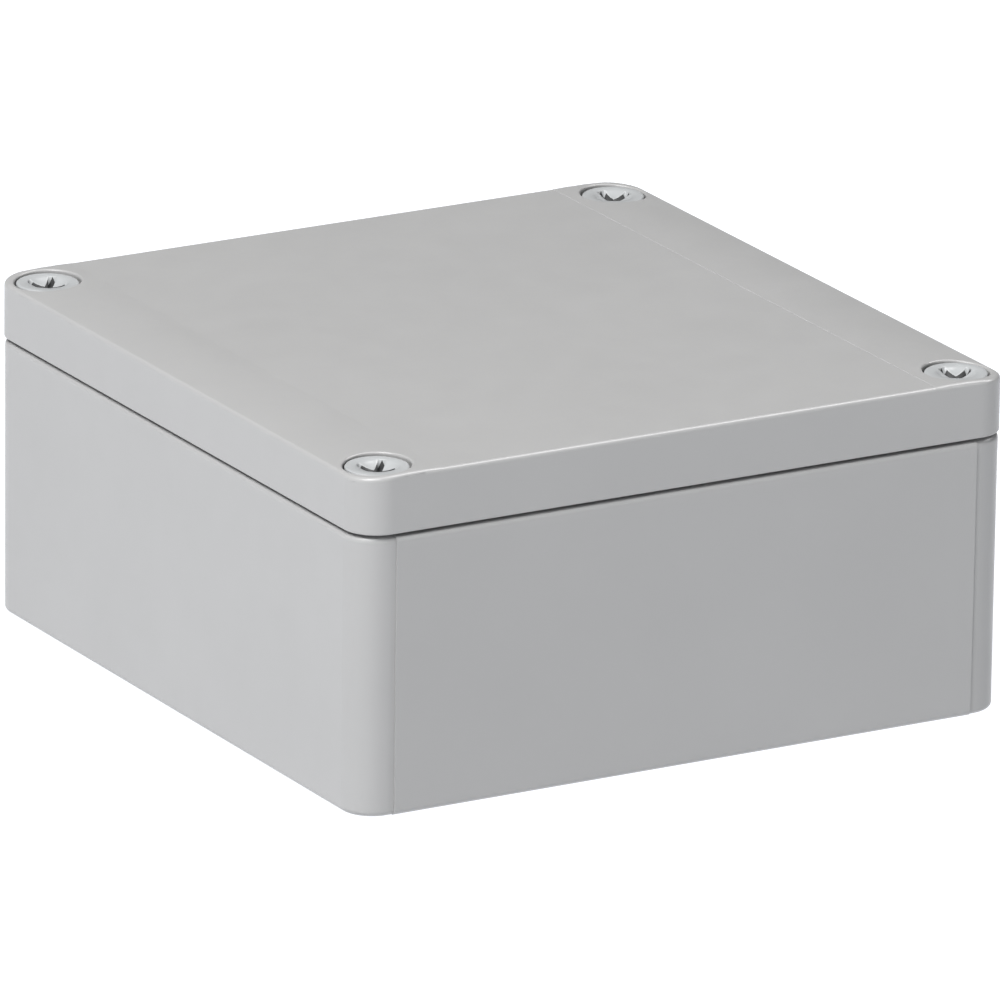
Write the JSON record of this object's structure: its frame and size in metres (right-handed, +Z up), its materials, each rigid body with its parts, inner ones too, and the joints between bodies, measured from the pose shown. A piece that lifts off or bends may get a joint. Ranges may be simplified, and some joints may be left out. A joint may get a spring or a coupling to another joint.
{
  "type": "electrical junction box",
  "caption": "Square screwed-lid junction box with a seal, captive cross-drive lid screws, a mounting rail and a rising-clamp terminal strip inside.",
  "frame": {"origin": "centre of the underside, which lies on a table or against a wall", "axes": "+Z up, out of the lid; X along the front face, between the two raised lid strips; Y from front to back"},
  "size_m": [0.118, 0.122, 0.056],
  "materials": {
    "enclosure": "satin moulded light grey",
    "screw_plastic": "satin moulded pale grey",
    "ring_plastic": "natural white polyamide",
    "seal": "matt foamed seal",
    "zinc_steel": "bright zinc plated",
    "terminal_grey": "moulded polyamide",
    "terminal_blue": "moulded polyamide",
    "terminal_earth": "green and yellow moulded polyamide",
    "tinned_copper": "tin-plated copper alloy",
    "marker_white": "blank white"
  },
  "bodies": {
    "base": {"base": "enclosure", "din_rail": "zinc_steel", "rail_screw_1": "zinc_steel", "rail_screw_2": "zinc_steel", "end_plate": "terminal_grey", "end_stop_1": "terminal_grey", "end_stop_2": "terminal_grey", "end_stop_screw_1": "zinc_steel", "end_stop_screw_2": "zinc_steel", "marker_strip": "marker_white", "terminal_housing_1": "terminal_grey", "terminal_housing_2": "terminal_grey", "terminal_housing_3": "terminal_grey", "terminal_housing_4": "terminal_blue", "terminal_housing_5": "terminal_earth", "current_bar_1": "tinned_copper", "current_bar_2": "tinned_copper", "current_bar_3": "tinned_copper", "current_bar_4": "tinned_copper", "current_bar_5": "tinned_copper"},
    "lid": {"lid": "enclosure", "lid_gasket": "seal"},
    "captive_ring_1": {"captive_ring_1": "ring_plastic"},
    "lid_screw_1": {"lid_screw_1": "screw_plastic"},
    "captive_ring_2": {"captive_ring_2": "ring_plastic"},
    "lid_screw_2": {"lid_screw_2": "screw_plastic"},
    "captive_ring_3": {"captive_ring_3": "ring_plastic"},
    "lid_screw_3": {"lid_screw_3": "screw_plastic"},
    "captive_ring_4": {"captive_ring_4": "ring_plastic"},
    "lid_screw_4": {"lid_screw_4": "screw_plastic"},
    "clamp_screw_1": {"clamp_screw_1": "zinc_steel"},
    "clamp_cage_1": {"clamp_cage_1": "zinc_steel"},
    "clamp_screw_2": {"clamp_screw_2": "zinc_steel"},
    "clamp_cage_2": {"clamp_cage_2": "zinc_steel"},
    "clamp_screw_3": {"clamp_screw_3": "zinc_steel"},
    "clamp_cage_3": {"clamp_cage_3": "zinc_steel"},
    "clamp_screw_4": {"clamp_screw_4": "zinc_steel"},
    "clamp_cage_4": {"clamp_cage_4": "zinc_steel"},
    "clamp_screw_5": {"clamp_screw_5": "zinc_steel"},
    "clamp_cage_5": {"clamp_cage_5": "zinc_steel"},
    "clamp_screw_6": {"clamp_screw_6": "zinc_steel"},
    "clamp_cage_6": {"clamp_cage_6": "zinc_steel"},
    "clamp_screw_7": {"clamp_screw_7": "zinc_steel"},
    "clamp_cage_7": {"clamp_cage_7": "zinc_steel"},
    "clamp_screw_8": {"clamp_screw_8": "zinc_steel"},
    "clamp_cage_8": {"clamp_cage_8": "zinc_steel"},
    "clamp_screw_9": {"clamp_screw_9": "zinc_steel"},
    "clamp_cage_9": {"clamp_cage_9": "zinc_steel"},
    "clamp_screw_10": {"clamp_screw_10": "zinc_steel"},
    "clamp_cage_10": {"clamp_cage_10": "zinc_steel"}
  },
  "joints": [
    {"name": "lid_lift", "type": "slide", "parent": "base", "child": "lid", "axis": [0, 0, 1], "range_m": [0, 0.06]},
    {"name": "lid_screw_1_rise", "type": "slide", "parent": "lid", "child": "captive_ring_1", "axis": [0, 0, 1], "range_m": [0, 0.008]},
    {"name": "lid_screw_1_turn", "type": "hinge", "parent": "captive_ring_1", "child": "lid_screw_1", "pos_m": [-0.0525, -0.0542, 0.05], "axis": [0, 0, 1], "range_deg": [0, 1440]},
    {"name": "lid_screw_2_rise", "type": "slide", "parent": "lid", "child": "captive_ring_2", "axis": [0, 0, 1], "range_m": [0, 0.008]},
    {"name": "lid_screw_2_turn", "type": "hinge", "parent": "captive_ring_2", "child": "lid_screw_2", "pos_m": [-0.0525, 0.0542, 0.05], "axis": [0, 0, 1], "range_deg": [0, 1440]},
    {"name": "lid_screw_3_rise", "type": "slide", "parent": "lid", "child": "captive_ring_3", "axis": [0, 0, 1], "range_m": [0, 0.008]},
    {"name": "lid_screw_3_turn", "type": "hinge", "parent": "captive_ring_3", "child": "lid_screw_3", "pos_m": [0.0525, 0.0542, 0.05], "axis": [0, 0, 1], "range_deg": [0, 1440]},
    {"name": "lid_screw_4_rise", "type": "slide", "parent": "lid", "child": "captive_ring_4", "axis": [0, 0, 1], "range_m": [0, 0.008]},
    {"name": "lid_screw_4_turn", "type": "hinge", "parent": "captive_ring_4", "child": "lid_screw_4", "pos_m": [0.0525, -0.0542, 0.05], "axis": [0, 0, 1], "range_deg": [0, 1440]},
    {"name": "clamp_1_turn", "type": "hinge", "parent": "base", "child": "clamp_screw_1", "pos_m": [-0.0119, -0.015, 0.036], "axis": [0, 0, -1], "range_deg": [0, 2880]},
    {"name": "clamp_1_close", "type": "slide", "parent": "base", "child": "clamp_cage_1", "axis": [0, 0, 1], "range_m": [0, 0.004]},
    {"name": "clamp_2_turn", "type": "hinge", "parent": "base", "child": "clamp_screw_2", "pos_m": [-0.0119, 0.015, 0.036], "axis": [0, 0, -1], "range_deg": [0, 2880]},
    {"name": "clamp_2_close", "type": "slide", "parent": "base", "child": "clamp_cage_2", "axis": [0, 0, 1], "range_m": [0, 0.004]},
    {"name": "clamp_3_turn", "type": "hinge", "parent": "base", "child": "clamp_screw_3", "pos_m": [-0.00575, -0.015, 0.036], "axis": [0, 0, -1], "range_deg": [0, 2880]},
    {"name": "clamp_3_close", "type": "slide", "parent": "base", "child": "clamp_cage_3", "axis": [0, 0, 1], "range_m": [0, 0.004]},
    {"name": "clamp_4_turn", "type": "hinge", "parent": "base", "child": "clamp_screw_4", "pos_m": [-0.00575, 0.015, 0.036], "axis": [0, 0, -1], "range_deg": [0, 2880]},
    {"name": "clamp_4_close", "type": "slide", "parent": "base", "child": "clamp_cage_4", "axis": [0, 0, 1], "range_m": [0, 0.004]},
    {"name": "clamp_5_turn", "type": "hinge", "parent": "base", "child": "clamp_screw_5", "pos_m": [0.0004, -0.015, 0.036], "axis": [0, 0, -1], "range_deg": [0, 2880]},
    {"name": "clamp_5_close", "type": "slide", "parent": "base", "child": "clamp_cage_5", "axis": [0, 0, 1], "range_m": [0, 0.004]},
    {"name": "clamp_6_turn", "type": "hinge", "parent": "base", "child": "clamp_screw_6", "pos_m": [0.0004, 0.015, 0.036], "axis": [0, 0, -1], "range_deg": [0, 2880]},
    {"name": "clamp_6_close", "type": "slide", "parent": "base", "child": "clamp_cage_6", "axis": [0, 0, 1], "range_m": [0, 0.004]},
    {"name": "clamp_7_turn", "type": "hinge", "parent": "base", "child": "clamp_screw_7", "pos_m": [0.00655, -0.015, 0.036], "axis": [0, 0, -1], "range_deg": [0, 2880]},
    {"name": "clamp_7_close", "type": "slide", "parent": "base", "child": "clamp_cage_7", "axis": [0, 0, 1], "range_m": [0, 0.004]},
    {"name": "clamp_8_turn", "type": "hinge", "parent": "base", "child": "clamp_screw_8", "pos_m": [0.00655, 0.015, 0.036], "axis": [0, 0, -1], "range_deg": [0, 2880]},
    {"name": "clamp_8_close", "type": "slide", "parent": "base", "child": "clamp_cage_8", "axis": [0, 0, 1], "range_m": [0, 0.004]},
    {"name": "clamp_9_turn", "type": "hinge", "parent": "base", "child": "clamp_screw_9", "pos_m": [0.0127, -0.015, 0.036], "axis": [0, 0, -1], "range_deg": [0, 2880]},
    {"name": "clamp_9_close", "type": "slide", "parent": "base", "child": "clamp_cage_9", "axis": [0, 0, 1], "range_m": [0, 0.004]},
    {"name": "clamp_10_turn", "type": "hinge", "parent": "base", "child": "clamp_screw_10", "pos_m": [0.0127, 0.015, 0.036], "axis": [0, 0, -1], "range_deg": [0, 2880]},
    {"name": "clamp_10_close", "type": "slide", "parent": "base", "child": "clamp_cage_10", "axis": [0, 0, 1], "range_m": [0, 0.004]}
  ],
  "couplings": [
    {"joint": "lid_screw_1_turn", "follows": "lid_screw_1_rise", "rad_per_m": 3141.6},
    {"joint": "lid_screw_2_turn", "follows": "lid_screw_2_rise", "rad_per_m": 3141.6},
    {"joint": "lid_screw_3_turn", "follows": "lid_screw_3_rise", "rad_per_m": 3141.6},
    {"joint": "lid_screw_4_turn", "follows": "lid_screw_4_rise", "rad_per_m": 3141.6},
    {"joint": "clamp_1_turn", "follows": "clamp_1_close", "rad_per_m": 12566},
    {"joint": "clamp_2_turn", "follows": "clamp_2_close", "rad_per_m": 12566},
    {"joint": "clamp_3_turn", "follows": "clamp_3_close", "rad_per_m": 12566},
    {"joint": "clamp_4_turn", "follows": "clamp_4_close", "rad_per_m": 12566},
    {"joint": "clamp_5_turn", "follows": "clamp_5_close", "rad_per_m": 12566},
    {"joint": "clamp_6_turn", "follows": "clamp_6_close", "rad_per_m": 12566},
    {"joint": "clamp_7_turn", "follows": "clamp_7_close", "rad_per_m": 12566},
    {"joint": "clamp_8_turn", "follows": "clamp_8_close", "rad_per_m": 12566},
    {"joint": "clamp_9_turn", "follows": "clamp_9_close", "rad_per_m": 12566},
    {"joint": "clamp_10_turn", "follows": "clamp_10_close", "rad_per_m": 12566}
  ]
}
